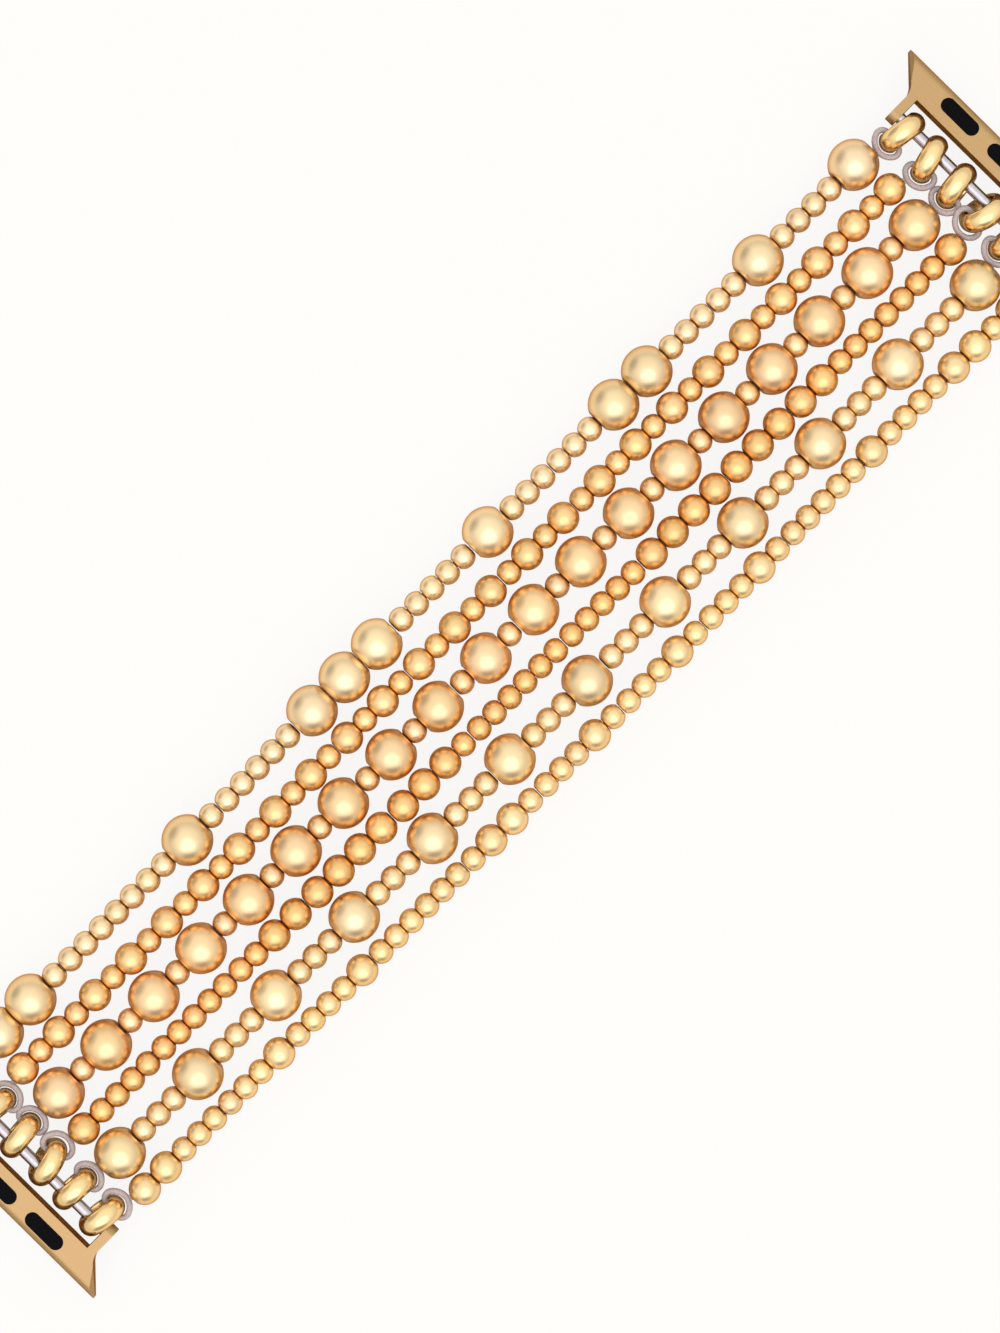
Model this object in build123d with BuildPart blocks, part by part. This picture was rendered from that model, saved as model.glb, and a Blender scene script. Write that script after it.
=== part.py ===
from build123d import *
import os

# An elastic bead band for a wrist watch, lying flat: six strands of gold beads
# on clear elastic cord, held by gold rings on a cross pin at each end, and a
# slide-in end bar that fits the slot of a watch case. X runs along the band, Y
# across it and Z up, from the middle of the surface that it lies on.

# Beads, in millimetres: balls with a bore along the strand, cut flat at both ends.
bead_radius = {"large": 3.0, "medium": 1.88, "small": 1.45}
bead_length = {"large": 5.27, "medium": 3.42, "small": 2.45}
bore_radius = {"large": 0.6, "medium": 0.55, "small": 0.55}

# Strands, as the order of their beads from the left end to the right one.
bead_kinds = {"L": "large", "M": "medium", "S": "small"}
strand_beads = [
    "LL" + "S" * 8 + "L" + "S" * 6 + "LLL" + "S" * 5 + "L" + "S" * 6 + "LL" + "S" * 5 + "L" + "S" * 4 + "L",
    "MS" * 24 + "M",
    "LS" * 18 + "L",
    "M" + "S" * 11 + "M" * 9 + "S" * 12 + "M" * 9 + "S" * 7 + "M",
    "LSSS" * 11 + "L",
    "MM" + "S" * 6 + "M" + "S" * 4 + "M" + "S" * 7 + "MM" + ("S" * 4 + "M") * 3 + "S" * 6 + "M" + "S" * 4 + "MMSM",
]

# The strands' length and spacing. A strand strays from its even place across
# the band by these shares of the spacing, at even steps from end to end.
strand_length = 146.0
strand_spacing = 4.95
stray_shares = [
    [0.00, 0.00, 0.00, 0.06, 0.08, 0.05, 0.06, 0.02, 0.00],
    [0.00, 0.00, 0.00, 0.03, 0.05, 0.04, 0.04, 0.00, 0.00],
    [0.00, 0.00, 0.02, 0.02, 0.03, 0.03, 0.03, 0.00, 0.00],
    [0.00, 0.00, 0.00, -0.02, 0.00, -0.02, 0.00, 0.00, 0.00],
    [0.00, 0.00, -0.02, -0.04, -0.02, -0.03, -0.02, 0.00, 0.00],
    [0.00, 0.00, -0.03, -0.05, -0.04, -0.05, -0.02, 0.02, 0.00],
]
cord_radius = 0.42
cord_height = bead_radius["large"]

# Rows are the lengths of band between one bend and the next. The beads part a
# little at each bend, and the cord has a small gap there.
row_count = 11
bend_gap = 0.08
cord_end_gap = 0.04

# Rings of the two ends, which stand on edge round the cross pin.
ring_radius = 3.0
ring_wall = 1.15
ring_width = 2.5
ring_edge = 0.35
ring_rounding = 0.22

# Elastic end loops, each round the wall of a ring and into its strand.
loop_thickness = 0.8
loop_clearance = 0.05
loop_rounding = 0.37
loop_corner = 0.75
stem_depth = 1.6
loop_reach = 1.1
loop_spread = 0.2

# Cross pin and its two slotted screws.
pin_radius = 0.7
pin_play = 0.1
pin_fit = 0.02
screw_head_radius = 1.0
screw_head_depth = 0.45
screw_shank_radius = 0.35
screw_shank_length = 2.2
screw_slot_width = 0.3
screw_slot_depth = 0.2
recess_clearance = 0.05

# End bar that slides into the watch case, with its two ears and three pads.
bar_thickness = 2.6
bar_wall_reach = 2.6
bar_reach = 6.4
bar_edge_rounding = 0.9
ear_thickness = 1.15
ear_reach = 1.25
ear_rounding = 1.15
ear_play = 0.15
wing_spread = 3.45
wing_root_reach = 2.9
wing_root_rounding = 2.2
wing_tip_flat = 0.3
wing_bevel = 0.85
wing_bevel_start = 0.04
wing_bevel_start_share = 0.25
cut_overrun = 0.5
pad_length = 5.5
pad_width = 1.8
pad_pitch = 7.5
pad_reach = 4.7
pad_fit = 0.02
pad_proud = 0.05

# Places worked out from the sizes above.
strand_count = len(strand_beads)
strand_end = strand_length / 2
row_length = strand_length / row_count
row_edges = [row_length * edge - strand_end for edge in range(row_count + 1)]
loop_half_length = loop_reach + loop_thickness / 2
loop_half_width = ring_width / 2 + loop_clearance + loop_thickness
ring_spacing = 2 * loop_half_width + loop_spread
ring_wall_x = strand_end + loop_half_length + loop_clearance / 2
ring_x = ring_wall_x + ring_radius - ring_wall / 2
ring_hole_radius = ring_radius - ring_wall
pin_x = ring_x + ring_hole_radius - pin_radius - pin_play
ear_inside = (strand_count - 1) / 2 * ring_spacing + ring_width / 2 + ear_play
ear_outside = ear_inside + ear_thickness
tip_y = ear_outside + wing_spread
os.makedirs("parts", exist_ok=True)


def even_place(strand, spacing):
    """The place across the band of a strand or ring, evenly spaced, the first one at +Y."""
    return ((strand_count - 1) / 2 - strand) * spacing


def strand_y(strand, x):
    """The place across the band of a strand's axis at one row edge."""
    shares = stray_shares[strand]
    step = (x + strand_end) / strand_length * (len(shares) - 1)
    lower = min(int(step), len(shares) - 2)
    share = shares[lower] + (shares[lower + 1] - shares[lower]) * (step - lower)
    return even_place(strand, strand_spacing) + share * strand_spacing


def axis_y(strand, row, x):
    """A strand's axis runs straight through each row, on the line between the row's two edges."""
    start, end = row_edges[row], row_edges[row + 1]
    along = (x - start) / (end - start)
    return strand_y(strand, start) + (strand_y(strand, end) - strand_y(strand, start)) * along


def row_at(x):
    """The row that holds a place along the band."""
    return max(0, min(row_count - 1, int((x + strand_end) / row_length)))


def bead_places(strand):
    """Each bead's kind, row and centre. Beads of neighbouring rows stand a bend gap apart."""
    kinds = [bead_kinds[letter] for letter in strand_beads[strand]]
    lengths = [bead_length[kind] for kind in kinds]
    spare = strand_length - sum(lengths) - (row_count - 1) * bend_gap
    gap = spare / (len(kinds) - 1)
    places = []
    x, last_row = -strand_end, 0
    for kind, length in zip(kinds, lengths):
        row = row_at(x + length / 2)
        if row != last_row:
            x += bend_gap
            last_row = row
        centre = x + length / 2
        places.append((kind, row, (centre, axis_y(strand, row, centre), cord_height)))
        x += length + gap
    return places


def cord_ends(strand):
    """Where a strand's cord is parted: half way between the beads of neighbouring rows, and at the stems."""
    places = bead_places(strand)
    ends = [stem_depth - strand_end]
    for (kind, row, centre), (next_kind, next_row, next_centre) in zip(places, places[1:]):
        if next_row != row:
            bead_end = centre[0] + bead_length[kind] / 2
            next_start = next_centre[0] - bead_length[next_kind] / 2
            ends.append((bead_end + next_start) / 2)
    return ends + [strand_end - stem_depth]


def write(builder, name):
    """Labels a finished piece and writes its file."""
    builder.part.label = name
    export_step(builder.part, f"parts/{name}.step")


def make_bead(kind):
    """One bead about X: a ball between its two flat ends, with its bore."""
    radius, bore, length = bead_radius[kind], bore_radius[kind], bead_length[kind]
    with BuildPart() as bead:
        with BuildSketch(Plane.XY):
            Circle(radius)
            with Locations((0, (radius + bore) / 2)):
                Rectangle(length, radius - bore, mode=Mode.INTERSECT)
        revolve(axis=Axis.X)
    return bead.part


# Beads of each row, one node for each size, and the row's six cords.
bead_shapes = {kind: make_bead(kind) for kind in bead_radius}
all_places = [place for strand in range(strand_count) for place in bead_places(strand)]
for row in range(row_count):
    for kind in bead_radius:
        centres = [centre for k, r, centre in all_places if (k, r) == (kind, row)]
        if centres:
            with BuildPart() as beads:
                with Locations(*centres):
                    add(bead_shapes[kind])
            write(beads, f"{kind}_beads_{row + 1}")
    with BuildPart() as cords:
        for strand in range(strand_count):
            near, far = cord_ends(strand)[row : row + 2]
            near, far = near + cord_end_gap, far - cord_end_gap
            start = Vector(near, axis_y(strand, row, near), cord_height)
            run = Vector(far, axis_y(strand, row, far), cord_height) - start
            with BuildSketch(Plane(start, z_dir=run)):
                Circle(cord_radius)
            extrude(amount=run.length)
    write(cords, f"elastic_cords_{row + 1}")


def make_ring():
    """One closed ring about Y: a band of gold, flat inside and domed outside, with two narrow flat sides."""
    dome_start = ring_hole_radius + ring_edge
    with BuildPart() as ring:
        with BuildSketch(Plane.XY) as section:
            with BuildLine():
                ThreePointArc((dome_start, -ring_width / 2), (ring_radius, 0), (dome_start, ring_width / 2))
                Polyline(
                    (dome_start, ring_width / 2),
                    (ring_hole_radius, ring_width / 2),
                    (ring_hole_radius, -ring_width / 2),
                    (dome_start, -ring_width / 2),
                )
            make_face()
            fillet(section.vertices(), ring_rounding)
        revolve(axis=Axis.Y)
    return ring.part


ring_shape = make_ring()
for side, end in ((-1, "left"), (1, "right")):
    # Six rings that stand on the cross pin.
    ring_places = [(side * ring_x, even_place(i, ring_spacing), cord_height) for i in range(strand_count)]
    with BuildPart() as rings:
        with Locations(*ring_places):
            add(ring_shape)
    write(rings, f"end_rings_{end}")

    # Six elastic loops: a flat-sided loop round each ring's wall, and a stem into the strand's last bead.
    with BuildPart() as loops:
        with BuildSketch(Plane.XY.offset(cord_height - loop_thickness / 2)):
            with Locations(*[(side * ring_wall_x, place[1]) for place in ring_places]):
                RectangleRounded(2 * loop_half_length, 2 * loop_half_width, loop_corner + loop_thickness / 2)
                RectangleRounded(
                    2 * (loop_half_length - loop_thickness),
                    2 * (loop_half_width - loop_thickness),
                    loop_corner - loop_thickness / 2,
                    mode=Mode.SUBTRACT,
                )
        extrude(amount=loop_thickness)
        fillet(loops.edges().filter_by(Plane.XY), loop_rounding)
        for strand in range(strand_count):
            y = strand_y(strand, side * strand_end)
            inner = side * (strand_end - stem_depth)
            outer = side * (ring_wall_x - loop_reach + loop_thickness / 4)
            with BuildSketch(Plane((inner, y, cord_height), z_dir=(side, 0, 0))):
                Circle(cord_radius)
            extrude(amount=abs(outer - inner))
    write(loops, f"end_loops_{end}")

    # Cross pin, bored at both ends for the screws.
    pin_end = ear_outside - screw_head_depth - recess_clearance
    pin_plane = Plane((side * pin_x, 0, cord_height), x_dir=(1, 0, 0), z_dir=(0, 1, 0))
    with BuildPart() as pin:
        with BuildSketch(pin_plane):
            Circle(pin_radius)
        extrude(amount=pin_end, both=True)
        for direction in (-1, 1):
            with BuildSketch(pin_plane.offset(direction * pin_end)):
                Circle(screw_shank_radius + pin_fit)
            extrude(amount=-direction * (screw_shank_length + recess_clearance), mode=Mode.SUBTRACT)
    write(pin, f"cross_pin_{end}")

    # Two slotted screws, one in each end of the pin.
    with BuildPart() as screws:
        for direction in (-1, 1):
            with BuildSketch(pin_plane.offset(direction * pin_end)):
                Circle(screw_head_radius)
            extrude(amount=direction * screw_head_depth)
            with BuildSketch(pin_plane.offset(direction * pin_end)):
                Circle(screw_shank_radius)
            extrude(amount=-direction * screw_shank_length)
            with BuildSketch(pin_plane.offset(direction * (pin_end + screw_head_depth))):
                Rectangle(2 * screw_head_radius, screw_slot_width)
            extrude(amount=-direction * screw_slot_depth, mode=Mode.SUBTRACT)
    write(screws, f"pin_screws_{end}")

    # End bar: a flat plate with two ears, wings at its ends, slots for the pads and holes for the pin.
    def at(reach, y):
        """A point of the bar's plan, measured outwards from the pin's axis."""
        return (side * (pin_x + reach), y)

    with BuildPart() as bar:
        with BuildSketch(Plane.XY.offset(cord_height - bar_thickness / 2)) as plan:
            with BuildLine():
                half = [
                    at(bar_wall_reach, ear_inside),
                    at(-ear_reach, ear_inside),
                    at(-ear_reach, ear_outside),
                    at(wing_root_reach, ear_outside),
                    at(bar_reach - wing_tip_flat, tip_y),
                    at(bar_reach, tip_y),
                ]
                Polyline(*half, *[(x, -y) for x, y in reversed(half)], close=True)
            make_face()
            root_x = at(wing_root_reach, 0)[0]
            roots = plan.vertices().filter_by(lambda v: abs(v.X - root_x) < pin_fit)
            fillet(roots, wing_root_rounding)
        extrude(amount=bar_thickness)
        long_edges = bar.edges().filter_by(Axis.Y).filter_by(lambda e: e.length > ear_inside)
        fillet(long_edges.sort_by(Axis.X)[-2:] if side > 0 else long_edges.sort_by(Axis.X)[:2], bar_edge_rounding)
        ear_ends = bar.edges().filter_by(Axis.Y).filter_by(lambda e: abs(e.length - ear_thickness) < pin_fit)
        fillet(ear_ends, ear_rounding)
        for direction in (-1, 1):
            root = Vector(*at(wing_root_reach, direction * ear_outside), cord_height)
            run = Vector(*at(bar_reach, direction * (tip_y + wing_tip_flat)), cord_height) - root
            outward = run.cross(Vector(0, 0, -side * direction)).normalized()
            for face in (-1, 1):
                for share, bevel in ((wing_bevel_start_share, wing_bevel_start), (1, wing_bevel)):
                    rim = face * bar_thickness / 2
                    with BuildSketch(Plane(root + run * share, x_dir=outward, z_dir=run)):
                        Polygon(
                            (-bevel - cut_overrun, rim + face * cut_overrun),
                            (cut_overrun, rim - face * (bevel + cut_overrun)),
                            (cut_overrun, rim + face * cut_overrun),
                            align=None,
                        )
                loft(mode=Mode.SUBTRACT)
        with BuildSketch(Plane.XY.offset(cord_height)):
            with Locations(*[at(pad_reach, step * pad_pitch) for step in (-1, 0, 1)]):
                SlotOverall(pad_length, pad_width, rotation=90)
        extrude(amount=bar_thickness, both=True, mode=Mode.SUBTRACT)
        with BuildSketch(pin_plane):
            Circle(pin_radius + pin_fit)
        extrude(amount=tip_y, both=True, mode=Mode.SUBTRACT)
        for direction in (-1, 1):
            with BuildSketch(pin_plane.offset(direction * pin_end)):
                Circle(screw_head_radius + recess_clearance)
            extrude(amount=direction * ear_thickness, mode=Mode.SUBTRACT)
    write(bar, f"end_bar_{end}")

    # Three rubber pads that grip the slot of the watch case.
    with BuildPart() as pads:
        with BuildSketch(Plane.XY.offset(cord_height)):
            with Locations(*[at(pad_reach, step * pad_pitch) for step in (-1, 0, 1)]):
                SlotOverall(pad_length - 2 * pad_fit, pad_width - 2 * pad_fit, rotation=90)
        extrude(amount=bar_thickness / 2 + pad_proud, both=True)
    write(pads, f"grip_pads_{end}")
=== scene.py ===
import math
import bpy
import numpy as np
from mathutils import Matrix, Vector


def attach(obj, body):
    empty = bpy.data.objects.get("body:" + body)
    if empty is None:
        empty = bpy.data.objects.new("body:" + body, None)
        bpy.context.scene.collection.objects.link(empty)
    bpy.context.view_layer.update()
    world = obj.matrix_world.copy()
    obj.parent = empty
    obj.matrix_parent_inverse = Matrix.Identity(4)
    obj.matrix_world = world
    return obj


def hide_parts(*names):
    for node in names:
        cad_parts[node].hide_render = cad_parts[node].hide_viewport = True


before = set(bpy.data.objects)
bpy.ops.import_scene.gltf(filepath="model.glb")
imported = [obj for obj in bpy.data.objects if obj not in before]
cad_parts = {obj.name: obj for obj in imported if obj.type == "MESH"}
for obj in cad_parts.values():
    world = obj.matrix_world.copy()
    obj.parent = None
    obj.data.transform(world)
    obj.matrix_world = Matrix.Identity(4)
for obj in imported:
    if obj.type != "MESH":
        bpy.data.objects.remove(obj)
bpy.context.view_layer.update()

# Beads: turned brass balls with a bore, plated in satin gold and threaded on six elastic strands.
# Neighbouring beads meet on small turned flats, and each has its own shade of the plating.
mm = 0.001
bead_radius = {"large": 3.0 * mm, "medium": 1.88 * mm, "small": 1.45 * mm}
bead_length = {"large": 5.27 * mm, "medium": 3.42 * mm, "small": 2.45 * mm}
bore_radius = {"large": 0.6 * mm, "medium": 0.55 * mm, "small": 0.55 * mm}
bead_facets = {"large": (36, 11), "medium": (28, 8), "small": (22, 6)}
flat_rings = 3
bead_kinds = {"L": "large", "M": "medium", "S": "small"}
strand_beads = [
    "LL" + "S" * 8 + "L" + "S" * 6 + "LLL" + "S" * 5 + "L" + "S" * 6 + "LL" + "S" * 5 + "L" + "S" * 4 + "L",
    "MS" * 24 + "M",
    "LS" * 18 + "L",
    "M" + "S" * 11 + "M" * 9 + "S" * 12 + "M" * 9 + "S" * 7 + "M",
    "LSSS" * 11 + "L",
    ("MM" + "S" * 6 + "M" + "S" * 4 + "M" + "S" * 7 + "MM" + ("S" * 4 + "M") * 3
     + "S" * 6 + "M" + "S" * 4 + "MMSM"),
]
strand_length = 146.0 * mm
strand_spacing = 4.95 * mm
stray_shares = [
    [0.00, 0.00, 0.00, 0.06, 0.08, 0.05, 0.06, 0.02, 0.00],
    [0.00, 0.00, 0.00, 0.03, 0.05, 0.04, 0.04, 0.00, 0.00],
    [0.00, 0.00, 0.02, 0.02, 0.03, 0.03, 0.03, 0.00, 0.00],
    [0.00, 0.00, 0.00, -0.02, 0.00, -0.02, 0.00, 0.00, 0.00],
    [0.00, 0.00, -0.02, -0.04, -0.02, -0.03, -0.02, 0.00, 0.00],
    [0.00, 0.00, -0.03, -0.05, -0.04, -0.05, -0.02, 0.02, 0.00],
]
row_count = 11
bend_gap = 0.08 * mm
cord_height = 3.0 * mm
strand_platings = [
    (0.93, 0.73, 0.46),
    (0.92, 0.62, 0.3),
    (0.93, 0.66, 0.38),
    (0.91, 0.57, 0.24),
    (0.93, 0.72, 0.43),
    (0.93, 0.69, 0.37),
]
plating_spread = (0.03, 0.008, 0.03)
strand_count = len(strand_beads)
strand_end = strand_length / 2
row_length = strand_length / row_count


def even_place(strand, spacing):
    """The place across the band of a strand or ring, evenly spaced, the first one at +Y."""
    return ((strand_count - 1) / 2 - strand) * spacing


def strand_y(strand, x):
    """A strand's place across the band: its even place, plus its stray, drawn straight between even steps."""
    shares = stray_shares[strand]
    steps = np.linspace(-strand_end, strand_end, len(shares))
    return even_place(strand, strand_spacing) + float(np.interp(x, steps, shares)) * strand_spacing


def row_line_y(strand, row, x):
    """The same place on the straight line between the row's two edges, which the row's beads follow."""
    start = row * row_length - strand_end
    start_y, end_y = strand_y(strand, start), strand_y(strand, start + row_length)
    return start_y + (end_y - start_y) * (x - start) / row_length


def threaded_beads(strand):
    """Each bead of a strand as kind, row and centre, laid end to end, with a bend gap between rows."""
    kinds = [bead_kinds[letter] for letter in strand_beads[strand]]
    spare = strand_length - sum(bead_length[kind] for kind in kinds) - (row_count - 1) * bend_gap
    gap = spare / (len(kinds) - 1)
    beads, x, last_row = [], -strand_end, 0
    for kind in kinds:
        length = bead_length[kind]
        row = max(0, min(row_count - 1, int((x + length / 2 + strand_end) / row_length)))
        x += bend_gap if row != last_row else 0
        last_row = row
        centre = x + length / 2
        beads.append((kind, row, (centre, row_line_y(strand, row, centre), cord_height)))
        x += length + gap
    return beads


def bead_surface(kind):
    """One closed bead about X: its profile, outside and back through the bore, carried round in equal turns.
    Each half of the profile is an arc of a ball, cut off square at the bead's end, and a flat down to the rim
    of the bore. The second result is how near each point is to the bore, from 0 at the widest place to 1 at
    the rim."""
    radius, half, bore = bead_radius[kind], bead_length[kind] / 2, bore_radius[kind]
    arc = np.linspace(0, math.asin(half / radius), bead_facets[kind][1] + 1)
    flat = np.linspace(radius * math.cos(arc[-1]), bore, flat_rings)[1:]
    half_rings = np.concatenate([radius * np.cos(arc), flat])
    half_along = np.concatenate([radius * np.sin(arc), np.full(len(flat), half)])
    along = np.concatenate([-half_along[::-1], half_along[1:]])
    rings = np.concatenate([half_rings[::-1], half_rings[1:]])
    turn = np.linspace(0, 2 * math.pi, bead_facets[kind][0], endpoint=False)
    points = np.stack([
        np.broadcast_to(along[:, None], (len(along), len(turn))),
        rings[:, None] * np.cos(turn),
        rings[:, None] * np.sin(turn),
    ], axis=-1)
    nearness = 1 - (rings - bore) / (radius - bore)
    return points, np.broadcast_to(nearness[:, None], points.shape[:2])


def closed_grids(points):
    """Faces of grids whose rows and columns both join up again, such as rings, for an array of
    copies by rows by columns by 3."""
    copies, rows, columns = points.shape[:3]
    index = np.arange(copies * rows * columns).reshape(copies, rows, columns)
    nexts = np.roll(index, -1, axis=1)
    corners = [index, np.roll(index, -1, axis=2), np.roll(nexts, -1, axis=2), nexts]
    return np.stack(corners, axis=-1).reshape(-1, 4)


def make_piece(name, points, faces, material, body, nodes=()):
    """A smooth mesh object from an array of points and one of faces, riding its body in place of its node."""
    mesh = bpy.data.meshes.new(name)
    mesh.from_pydata(points.reshape(-1, 3).tolist(), [], faces.tolist())
    mesh.polygons.foreach_set("use_smooth", np.ones(len(mesh.polygons), bool))
    mesh.materials.append(material)
    mesh.update()
    piece = bpy.data.objects.new(name, mesh)
    bpy.context.scene.collection.objects.link(piece)
    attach(piece, body)
    if nodes:
        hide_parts(*nodes)
    return piece


def new_material(name, **values):
    """A material with one Principled shader that has these socket values, its node tree and that shader."""
    material = bpy.data.materials.new(name)
    material.use_nodes = True
    shader = material.node_tree.nodes["Principled BSDF"]
    for socket, value in values.items():
        shader.inputs[socket.replace("_", " ")].default_value = value
    return material, material.node_tree, shader


def ranged(tree, value, smooth=False, **ends):
    """A value carried from one range to another, whose ends are given as socket values. Returns a socket."""
    node = tree.nodes.new("ShaderNodeMapRange")
    node.interpolation_type = "SMOOTHSTEP" if smooth else "LINEAR"
    for socket, end in ends.items():
        node.inputs[socket.replace("_", " ")].default_value = end
    tree.links.new(value, node.inputs["Value"])
    return node.outputs["Result"]


def noise_on(tree, scale, stretch=(1.0, 1.0, 1.0), detail=2):
    """The strength of a noise texture on the object's own coordinates, which stretch scales first."""
    place = tree.nodes.new("ShaderNodeTexCoord")
    mapping = tree.nodes.new("ShaderNodeMapping")
    mapping.inputs["Scale"].default_value = stretch
    noise = tree.nodes.new("ShaderNodeTexNoise")
    noise.inputs["Scale"].default_value = scale
    noise.inputs["Detail"].default_value = detail
    tree.links.new(place.outputs["Object"], mapping.inputs["Vector"])
    tree.links.new(mapping.outputs["Vector"], noise.inputs["Vector"])
    return noise.outputs["Fac"]


def grain(tree, shader, scale, low, high, bump, depth):
    """Fine noise that varies the roughness from low to high and lifts a bump. Returns its strength."""
    strength = noise_on(tree, scale, detail=3)
    lift = tree.nodes.new("ShaderNodeBump")
    lift.inputs["Strength"].default_value = bump
    lift.inputs["Distance"].default_value = depth
    roughness = ranged(tree, strength, To_Min=low, To_Max=high)
    tree.links.new(roughness, shader.inputs["Roughness"])
    tree.links.new(strength, lift.inputs["Height"])
    tree.links.new(lift.outputs["Normal"], shader.inputs["Normal"])
    return strength


def mixed(tree, mode, amount, first, second):
    """A colour mix node. Amount, first and second are sockets or plain values. Returns its colour."""
    mix = tree.nodes.new("ShaderNodeMix")
    mix.data_type, mix.blend_type = "RGBA", mode
    for socket, value in ((0, amount), (6, first), (7, second)):
        if isinstance(value, bpy.types.NodeSocket):
            tree.links.new(value, mix.inputs[socket])
        else:
            mix.inputs[socket].default_value = value
    return mix.outputs[2]


def own_value(tree, name):
    """The node that reads a value which the mesh holds for each of its points."""
    node = tree.nodes.new("ShaderNodeAttribute")
    node.attribute_name = name
    return node


# The plating is satin and orange at grazing angles. It is duller in faint patches, and has painted shade
# towards the bore, where neighbouring beads meet.
satin_edge = (0.5, 0.19, 0.03, 1)
dull_tone = (0.9, 0.8, 0.62, 1)
painted_seat_shade_tone = (0.26, 0.12, 0.03, 1)
satin_gold, tree, shader = new_material(
    "satin_gold_plating", Metallic=1.0, Specular_Tint=satin_edge, Coat_Weight=0.35, Coat_Roughness=0.3)
grain(tree, shader, scale=9000, low=0.24, high=0.36, bump=0.05, depth=0.02 * mm)
dulled = ranged(tree, noise_on(tree, scale=700), From_Min=0.45, From_Max=0.7, To_Max=0.22)
# Painted shade: the plating is darkened to brown towards the bore's rim, on the flats where neighbouring
# beads meet.
painted_seat_shade = ranged(tree, own_value(tree, "nearness").outputs["Fac"], smooth=True, From_Min=0.55, To_Max=0.75)
worn_gold = mixed(tree, "MULTIPLY", dulled, own_value(tree, "plating").outputs["Color"], dull_tone)
tree.links.new(mixed(tree, "MIX", painted_seat_shade, worn_gold, painted_seat_shade_tone), shader.inputs["Base Color"])

plating_seed = 7
plating_limit = 0.97
random = np.random.default_rng(plating_seed)
row_beads = {}
for strand in range(strand_count):
    for kind, row, centre in threaded_beads(strand):
        brightness, green, blue = random.normal(0, plating_spread)
        plating = np.array(strand_platings[strand]) * (1 + brightness) * (1, 1 + green, 1 + green + blue)
        row_beads.setdefault((kind, row), []).append((centre, plating))
for (kind, row), beads in sorted(row_beads.items()):
    shape, near = bead_surface(kind)
    points = np.stack([shape + np.array(centre) for centre, plating in beads])
    platings = np.array([[*np.clip(plating, 0, plating_limit), 1.0] for centre, plating in beads])
    node = f"{kind}_beads_{row + 1}"
    piece = make_piece(
        f"gold_{node}", points, closed_grids(points), satin_gold, f"row_{row + 1}", [node])
    colours = piece.data.color_attributes.new("plating", "FLOAT_COLOR", "POINT")
    colours.data.foreach_set("color", np.repeat(platings, near.size, axis=0).ravel())
    nears = piece.data.attributes.new("nearness", "FLOAT", "POINT")
    nears.data.foreach_set("value", np.tile(near.ravel(), len(beads)).astype(np.float32))

# Elastic cords: clear, slightly milky stretch cord, one through each strand of beads.
# They show only where the beads part, as the band bends or stretches.
clearer_milk = (0.44, 0.37, 0.38, 1)
thicker_milk = (0.74, 0.66, 0.68, 1)
clear_elastic, tree, shader = new_material("clear_elastic", Transmission_Weight=0.25, IOR=1.47)
haze = grain(tree, shader, scale=4000, low=0.18, high=0.34, bump=0.08, depth=0.04 * mm)
tree.links.new(mixed(tree, "MIX", haze, clearer_milk, thicker_milk), shader.inputs["Base Color"])


def finish_node(node, material):
    """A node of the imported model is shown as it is, in this one material."""
    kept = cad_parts[node]
    kept.data.materials.clear()
    kept.data.materials.append(material)


for row in range(row_count):
    finish_node(f"elastic_cords_{row + 1}", clear_elastic)

# End rings: fat closed bands of polished gold that stand on edge round the cross pin.
# They are loose on the pin, so each has turned and leans by its own degrees.
ring_radius = 3.0 * mm
ring_wall = 1.15 * mm
ring_width = 2.5 * mm
ring_edge = 0.35 * mm
ring_rounding = 0.22 * mm
ring_spacing = 4.4 * mm
ring_facets = 56
ring_dome_steps = 13
ring_corner_steps = 3
ring_turns = {-1: (-4, -7, 5, 12, -5, -9), 1: (-9, 14, 6, -12, -5, 5)}
ring_leans = {-1: (3, -4, 5, 16, 3, 6), 1: (4, -3, -6, 20, 5, -4)}
loop_thickness = 0.8 * mm
loop_reach = 1.1 * mm
loop_clearance = 0.05 * mm
ring_wall_x = strand_end + loop_reach + loop_thickness / 2 + loop_clearance / 2
ring_x = ring_wall_x + ring_radius - ring_wall / 2


def arc_points(along, across, radius, turns):
    """Points of an arc: its centre plus the radius times the cosine and sine of each turn."""
    return np.stack([along + radius * np.cos(turns), across + radius * np.sin(turns)], axis=-1)


def ring_outline(offset, dome_steps, corner_steps):
    """The outline of the ring's wall, or one that lies outside it by an offset, out from the ring's middle
    and across it: a dome outside, then on each side a small arc to the narrow flat side and another to the
    flat inside. The dome's radius is half of its depth plus its half width squared over twice its depth."""
    depth, half = ring_wall - ring_edge, ring_width / 2
    dome_radius = depth / 2 + half ** 2 / (2 * depth)
    dome_middle = ring_radius - dome_radius
    corner = half - ring_rounding
    outer = dome_middle + math.sqrt((dome_radius - ring_rounding) ** 2 - corner ** 2)
    inner = ring_radius - ring_wall + ring_rounding
    meet = math.atan2(corner, outer - dome_middle)
    quarter = math.pi / 2
    round_over = ring_rounding + offset
    dome = arc_points(dome_middle, 0, dome_radius + offset, np.linspace(-meet, meet, dome_steps))
    shoulder = arc_points(outer, corner, round_over, np.linspace(meet, quarter, corner_steps)[1:])
    inside = arc_points(inner, corner, round_over, np.linspace(quarter, 2 * quarter, corner_steps + 1))
    half_round = np.concatenate([shoulder, inside])
    return np.concatenate([dome, half_round, half_round[::-1] * (1, -1)])


def on_pin(points, side, strand):
    """Points about a ring's middle, leant about X and turned about Z as that ring is, set on its pin."""
    turn, lean = math.radians(ring_turns[side][strand]), math.radians(ring_leans[side][strand])
    matrix = np.array(Matrix.Rotation(turn, 3, "Z") @ Matrix.Rotation(lean, 3, "X"))
    return points @ matrix.T + (side * ring_x, even_place(strand, ring_spacing), cord_height)


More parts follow.
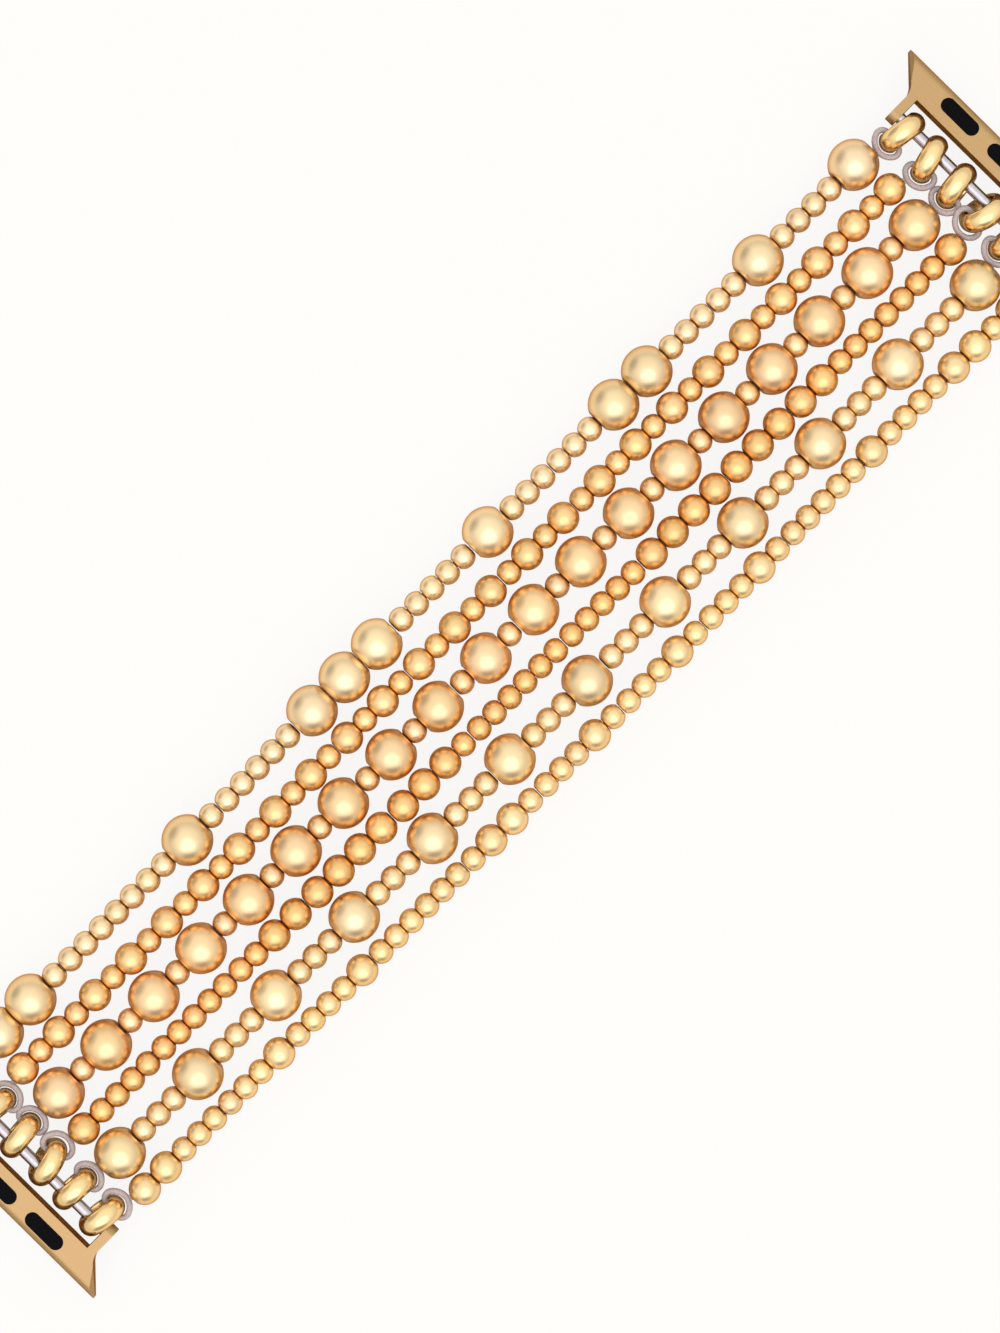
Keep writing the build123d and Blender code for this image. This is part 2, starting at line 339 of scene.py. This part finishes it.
def ring_surface(side, strand):
    """A closed band about Y: the outline of its wall carried round a circle."""
    way = np.linspace(0, 2 * math.pi, ring_facets, endpoint=False)[:, None]
    reach, across = ring_outline(0, ring_dome_steps, ring_corner_steps).T
    points = np.stack([reach * np.cos(way), across + 0 * way, reach * np.sin(way)], axis=-1)
    return on_pin(points, side, strand)


polished_edge = (0.2, 0.08, 0.02, 1)
dull_gilt = (0.92, 0.67, 0.31, 1)
bright_gilt = (0.95, 0.73, 0.41, 1)
polished_gold, tree, shader = new_material(
    "polished_gold_plating", Metallic=1.0, Specular_Tint=polished_edge, Coat_Weight=0.35, Coat_Roughness=0.2)
scuffs = grain(tree, shader, scale=2500, low=0.16, high=0.26, bump=0.02, depth=0.02 * mm)
tree.links.new(mixed(tree, "MIX", scuffs, dull_gilt, bright_gilt), shader.inputs["Base Color"])
for side, end in ((-1, "left"), (1, "right")):
    points = np.stack([ring_surface(side, strand) for strand in range(strand_count)])
    make_piece(
        f"gold_rings_{end}", points, closed_grids(points), polished_gold, f"rings_{end}",
        [f"end_rings_{end}"])

# End loops: clear elastic, carried round the wall of each ring and drawn into the strand's end bead.
# Each is a full loop that follows its ring, and a thin stem from there into the bead.
loop_facets = 12
loop_dome_steps = 17
loop_corner_steps = 6
loop_flatness = 0.1
loop_sag = 0.05 * mm
ring_swing = math.radians(18)
stem_depth = 1.2 * mm
stem_cord_radius = 0.2 * mm


def tube(path, wide, high):
    """A tube round a closed path. Its section is an ellipse: wide to either side of the path on the level,
    and high square to that."""
    ahead = np.roll(path, -1, axis=0) - np.roll(path, 1, axis=0)
    ahead /= np.linalg.norm(ahead, axis=1)[:, None]
    sideways = np.cross(ahead, (0, 0, 1))
    sideways /= np.linalg.norm(sideways, axis=1)[:, None]
    upwards = np.cross(sideways, ahead)
    section = np.linspace(2 * math.pi, 0, loop_facets, endpoint=False)[:, None]
    return (path[:, None] + wide * np.cos(section) * sideways[:, None]
            + high * np.sin(section) * upwards[:, None])


def swing_room(side, strand):
    """How far a loop stands off its ring for the ring to swing: more for a ring that leans or is turned."""
    turn, lean = math.radians(ring_turns[side][strand]), math.radians(ring_leans[side][strand])
    for_lean = ring_width / 2 * math.sin(abs(lean)) * math.sin(ring_swing)
    for_turn = (ring_radius - ring_wall / 2) * (1 - math.cos(turn))
    for_sag = (loop_sag + loop_clearance) * math.tan(ring_swing)
    return loop_clearance + for_lean + for_turn + for_sag


def loop_surfaces(side, strand):
    """Two tubes round closed paths. The loop's path is the outline of the ring's wall, outside it by the
    tube's half thickness and the room to swing, with a little sag. The stem's path is a long narrow oval from
    the bead's bore to the nearest point of the loop: along it goes by the cosine of its turn, and across by
    the sine."""
    thin = loop_thickness / 2 * (1 - loop_flatness)
    out, across = ring_outline(thin + swing_room(side, strand), loop_dome_steps, loop_corner_steps).T
    sag = loop_sag * np.sin(2 * np.arctan2(across, out - ring_radius) + strand)
    loop = on_pin(np.stack([-side * out, across, sag], axis=-1), side, strand)
    inside = np.array([side * (strand_end - stem_depth), strand_y(strand, side * strand_end), cord_height])
    reach = loop[np.linalg.norm(loop - inside, axis=1).argmin()] - inside
    turn = np.linspace(0, 2 * math.pi, len(loop), endpoint=False)[:, None]
    beside = np.cross(reach, (0, 0, 1)) / np.linalg.norm(reach)
    stem = inside + reach * (1 - np.cos(turn)) / 2 + beside * stem_cord_radius * np.sin(turn)
    return tube(loop, thin, loop_thickness / 2), tube(stem, stem_cord_radius, stem_cord_radius)


for side, end in ((-1, "left"), (1, "right")):
    points = np.concatenate([loop_surfaces(side, strand) for strand in range(strand_count)])
    row = 1 if side < 0 else row_count
    make_piece(
        f"elastic_loops_{end}", points, closed_grids(points), clear_elastic, f"row_{row}",
        [f"end_loops_{end}"])

# Cross pins and their slotted screws: turned and polished stainless steel. Each pin carries six rings
# between the ears of its end bar, and a screw holds it at either end.
steel_edge = (0.3, 0.28, 0.3, 1)
dark_steel = (0.47, 0.45, 0.49, 1)
bright_steel = (0.62, 0.6, 0.64, 1)
polished_steel, tree, shader = new_material("polished_steel", Metallic=1.0, Specular_Tint=steel_edge)
drawn = grain(tree, shader, scale=3000, low=0.14, high=0.24, bump=0.03, depth=0.02 * mm)
tree.links.new(mixed(tree, "MIX", drawn, dark_steel, bright_steel), shader.inputs["Base Color"])
for end in ("left", "right"):
    finish_node(f"cross_pin_{end}", polished_steel)
    finish_node(f"pin_screws_{end}", polished_steel)

# End bars: stainless steel with a satin champagne gold plating, brushed along the bar's length.
# The grain is long across the band and fine along it.
champagne_edge = (0.3, 0.16, 0.07, 1)
dark_champagne = (0.42, 0.27, 0.125, 1)
bright_champagne = (0.52, 0.345, 0.17, 1)
brush_stretch = (1.0, 0.04, 1.0)
champagne, tree, shader = new_material("champagne_plating", Metallic=1.0, Specular_Tint=champagne_edge)
brushing = noise_on(tree, scale=9000, stretch=brush_stretch)
tree.links.new(ranged(tree, brushing, To_Min=0.26, To_Max=0.46), shader.inputs["Roughness"])
tree.links.new(mixed(tree, "MIX", brushing, dark_champagne, bright_champagne), shader.inputs["Base Color"])
for end in ("left", "right"):
    finish_node(f"end_bar_{end}", champagne)

# Grip pads: small matt black rubber pads, pressed into the bar's three slots.
rubber_black = (0.002, 0.002, 0.003, 1)
pad_rubber, tree, shader = new_material("pad_rubber", Base_Color=rubber_black, Specular_IOR_Level=0.06)
grain(tree, shader, scale=6000, low=0.55, high=0.75, bump=0.2, depth=0.03 * mm)
for end in ("left", "right"):
    finish_node(f"grip_pads_{end}", pad_rubber)

# Studio: a white floor that shows as plain white and keeps a soft shadow, under a large soft overhead light.
floor_size = 3.0
floor_drop = 0.1 * mm
floor_white = 0.88
reflected_white = 0.2
floor_colour = (0.86, 0.76, 0.6, 1)
plain, tree, shader = new_material(
    "studio_white", Base_Color=floor_colour, Roughness=0.9, Specular_IOR_Level=0.0)


def worked_out(tree, operation, *amounts):
    """A maths node on sockets or plain values. Returns its result."""
    node = tree.nodes.new("ShaderNodeMath")
    node.operation = operation
    for socket, amount in enumerate(amounts):
        if isinstance(amount, bpy.types.NodeSocket):
            tree.links.new(amount, node.inputs[socket])
        else:
            node.inputs[socket].default_value = amount
    return node.outputs["Value"]


# The floor is part plain white to the camera, and a smaller part of it in reflections and through the cord.
rays = tree.nodes.new("ShaderNodeLightPath")
reflected = worked_out(tree, "MAXIMUM", rays.outputs["Is Glossy Ray"], rays.outputs["Is Transmission Ray"])
dimmed = worked_out(tree, "MULTIPLY", reflected, reflected_white)
white = tree.nodes.new("ShaderNodeEmission")
blend = tree.nodes.new("ShaderNodeMixShader")
share = worked_out(tree, "MULTIPLY_ADD", rays.outputs["Is Camera Ray"], floor_white, dimmed)
tree.links.new(share, blend.inputs[0])
tree.links.new(shader.outputs["BSDF"], blend.inputs[1])
tree.links.new(white.outputs["Emission"], blend.inputs[2])
tree.links.new(blend.outputs["Shader"], tree.nodes["Material Output"].inputs["Surface"])
half = floor_size / 2
corners = [(x * half, y * half, -floor_drop) for x, y in ((-1, -1), (1, -1), (1, 1), (-1, 1))]
mesh = bpy.data.meshes.new("studio_floor")
mesh.from_pydata(corners, [], [(0, 1, 2, 3)])
mesh.materials.append(plain)
floor = bpy.data.objects.new("studio_floor", mesh)
bpy.context.scene.collection.objects.link(floor)

# The room: bright overhead and darker towards the horizon, with two dark cards at the foot and the left of
# the picture. Each card has its direction, the light it leaves, and the cosine of the angle to its edge.
picture_turn = math.radians(45.4)
picture_right = Vector((math.cos(picture_turn), -math.sin(picture_turn), 0))
picture_up = Vector((math.sin(picture_turn), math.cos(picture_turn), 0))
horizon_light = (0.72, 0.68, 0.6, 1)
overhead_light = (1.25, 1.22, 1.15, 1)
warm_white = Vector((1, 0.97, 0.9))
light_levels = {0.25: 0.82, 0.6: 1.08}
dark_cards = [
    (-picture_up + 0.15 * picture_right, 0.4, 0.84),
    (-picture_right + 0.5 * picture_up, 0.55, 0.85),
]
card_height = 0.3
world = bpy.data.worlds.new("studio_room")
bpy.context.scene.world = world
world.use_nodes = True
tree = world.node_tree
direction = tree.nodes.new("ShaderNodeTexCoord").outputs["Generated"]
parts = tree.nodes.new("ShaderNodeSeparateXYZ")
tree.links.new(direction, parts.inputs["Vector"])
height = tree.nodes.new("ShaderNodeValToRGB")
tree.links.new(parts.outputs["Z"], height.inputs["Fac"])
lowest, highest = height.color_ramp.elements
lowest.color = horizon_light
highest.color = overhead_light
for position, level in light_levels.items():
    height.color_ramp.elements.new(position).color = (*(level * warm_white), 1)
shade = height.outputs["Color"]
for toward, darkness, edge in dark_cards:
    facing = tree.nodes.new("ShaderNodeVectorMath")
    facing.operation = "DOT_PRODUCT"
    facing.inputs[1].default_value = (toward.normalized() + Vector((0, 0, card_height))).normalized()
    tree.links.new(direction, facing.inputs[0])
    cover = ranged(tree, facing.outputs["Value"], smooth=True, From_Min=edge)
    shade = mixed(tree, "MULTIPLY", cover, shade, (darkness, darkness, darkness, 1))
tree.links.new(shade, tree.nodes["Background"].inputs["Color"])

# The overhead softbox, out of the picture. It hangs towards the foot of the picture and faces the band.
softbox_size = 1.2
softbox_height = 0.8
softbox_right = 0.08
softbox_down = 0.4
softbox_power = 2.2
light = bpy.data.lights.new("softbox", "AREA")
light.shape = "DISK"
light.size = softbox_size
light.energy = softbox_power
light.color = (0.98, 0.93, 1.12)
lamp = bpy.data.objects.new("softbox", light)
lamp.location = softbox_right * picture_right - softbox_down * picture_up + Vector((0, 0, softbox_height))
lamp.rotation_mode = "QUATERNION"
lamp.rotation_quaternion = lamp.location.to_track_quat("Z", "Y")
bpy.context.scene.collection.objects.link(lamp)

# The camera looks straight down from above the band. The picture's origin is where the band's middle shows.
picture_scale = 0.1155 * mm
picture_size = (1000, 1333)
picture_origin = (502, 674)
camera_distance = 0.4
view = bpy.data.cameras.new("camera")
view.lens = view.sensor_width * camera_distance / (picture_scale * picture_size[1])
camera = bpy.data.objects.new("camera", view)
rightward = (picture_size[0] / 2 - picture_origin[0]) * picture_scale
upward = (picture_origin[1] - picture_size[1] / 2) * picture_scale
camera_height = cord_height + camera_distance
camera.location = rightward * picture_right + upward * picture_up + Vector((0, 0, camera_height))
camera.rotation_euler = (0, 0, -picture_turn)
bpy.context.scene.collection.objects.link(camera)
bpy.context.scene.camera = camera
bpy.context.scene.view_settings.view_transform = "Standard"
